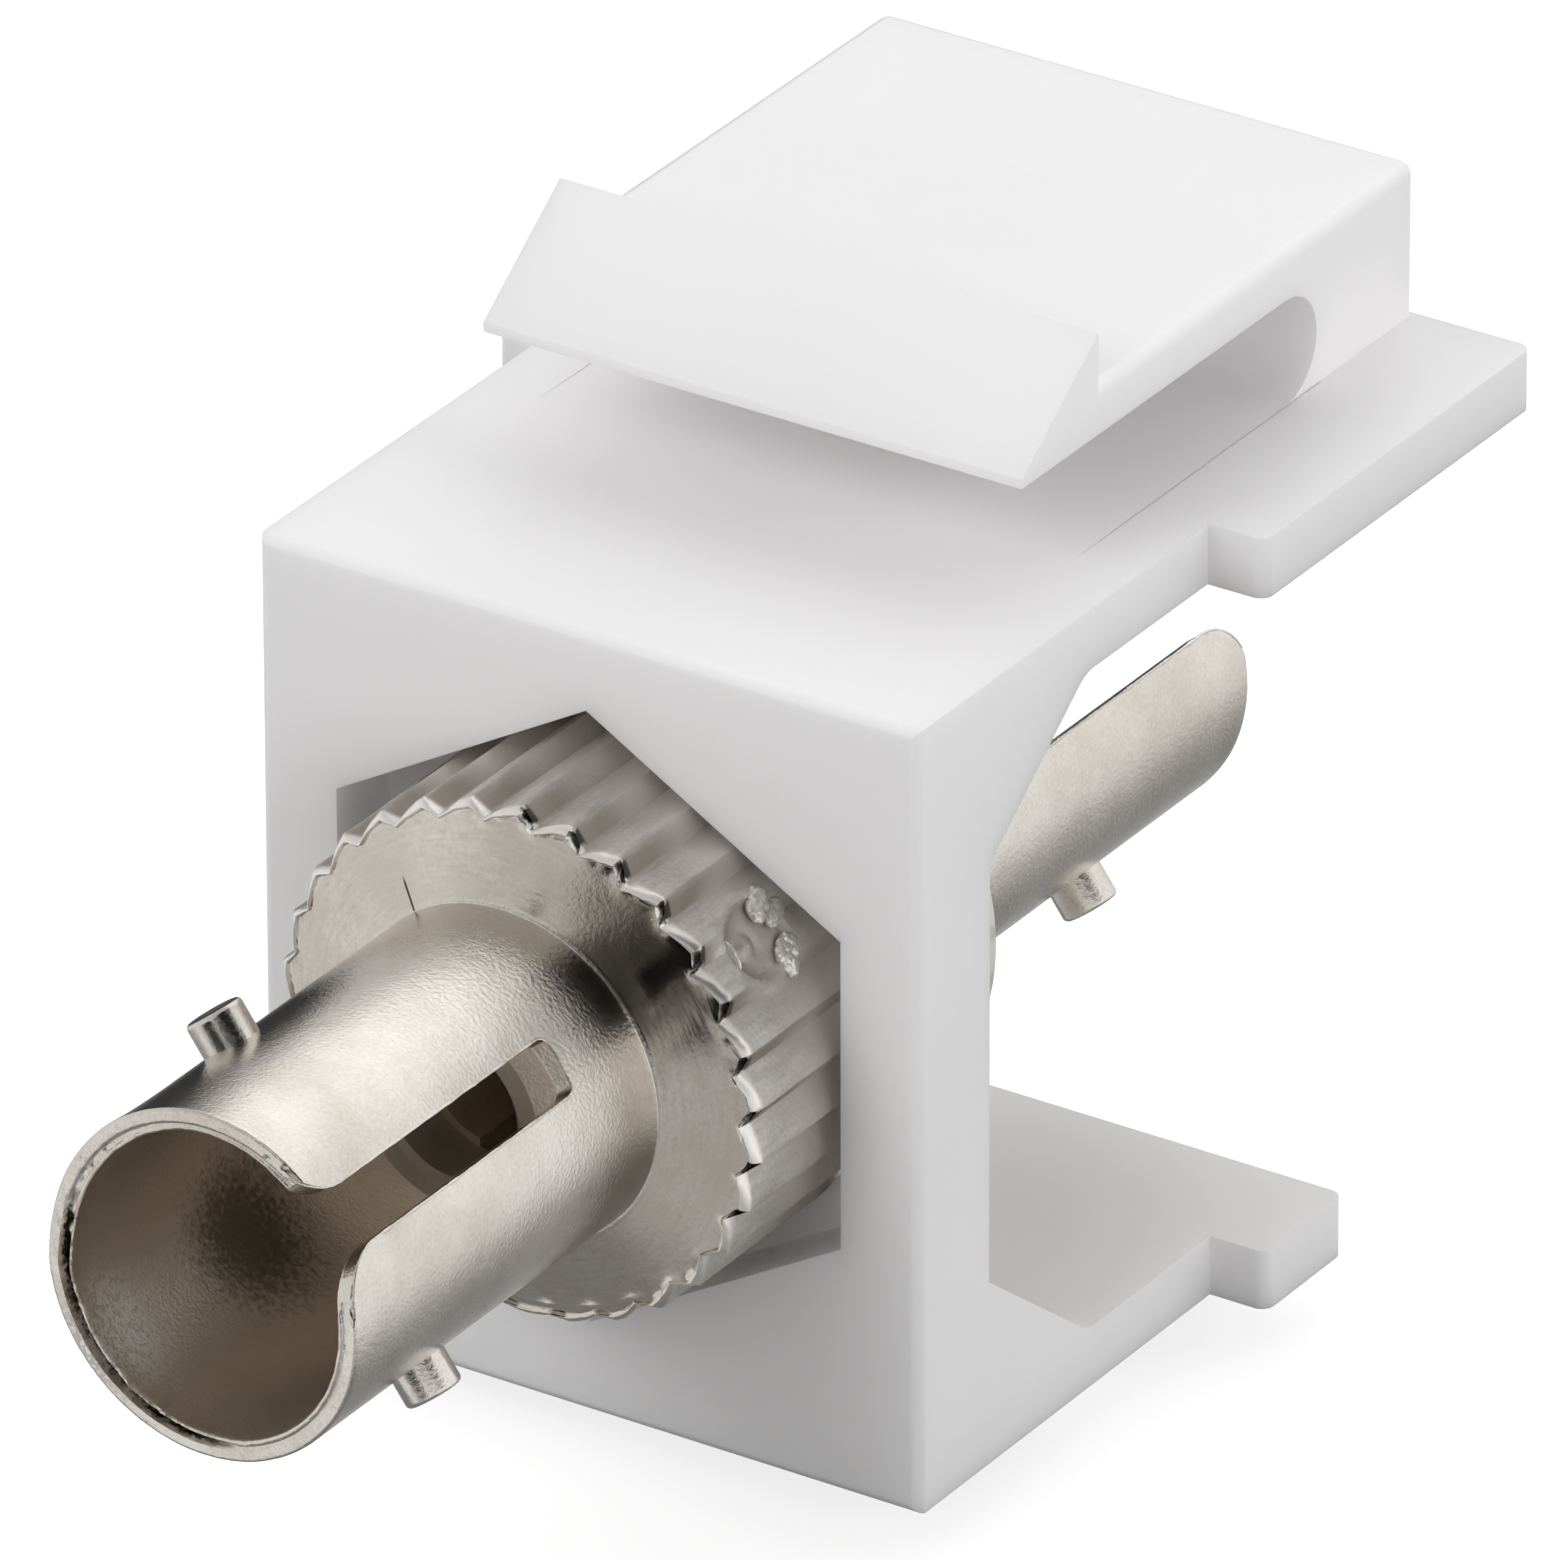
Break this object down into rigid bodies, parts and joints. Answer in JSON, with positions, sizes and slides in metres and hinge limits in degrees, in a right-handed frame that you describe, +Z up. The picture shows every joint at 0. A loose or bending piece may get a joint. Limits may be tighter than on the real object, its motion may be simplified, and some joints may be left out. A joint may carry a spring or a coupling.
{
  "type": "keystone fibre coupler",
  "caption": "White snap-in keystone housing with a slotted bayonet tube for a fibre plug at each end of a fluted metal coupler, joined end to end by a split ferrule sleeve.",
  "frame": {"origin": "on the coupler's axis where it crosses the housing's front face", "axes": "+Y along the coupler's axis towards the back of the panel, +Z up towards the latch, +X to the right seen from the front"},
  "size_m": [0.017, 0.032, 0.0217],
  "materials": {
    "housing": "satin",
    "shell": "cast, nickel plated",
    "lug": "turned, nickel plated",
    "holder": "turned, nickel plated",
    "sleeve": "spring bronze"
  },
  "bodies": {
    "root": {"keystone_housing": "housing", "front_shell": "shell", "rear_shell": "shell", "front_upper_lug": "lug", "front_lower_lug": "lug", "rear_upper_lug": "lug", "rear_lower_lug": "lug", "front_sleeve_holder": "holder", "rear_sleeve_holder": "holder", "split_sleeve": "sleeve"}
  },
  "joints": []
}
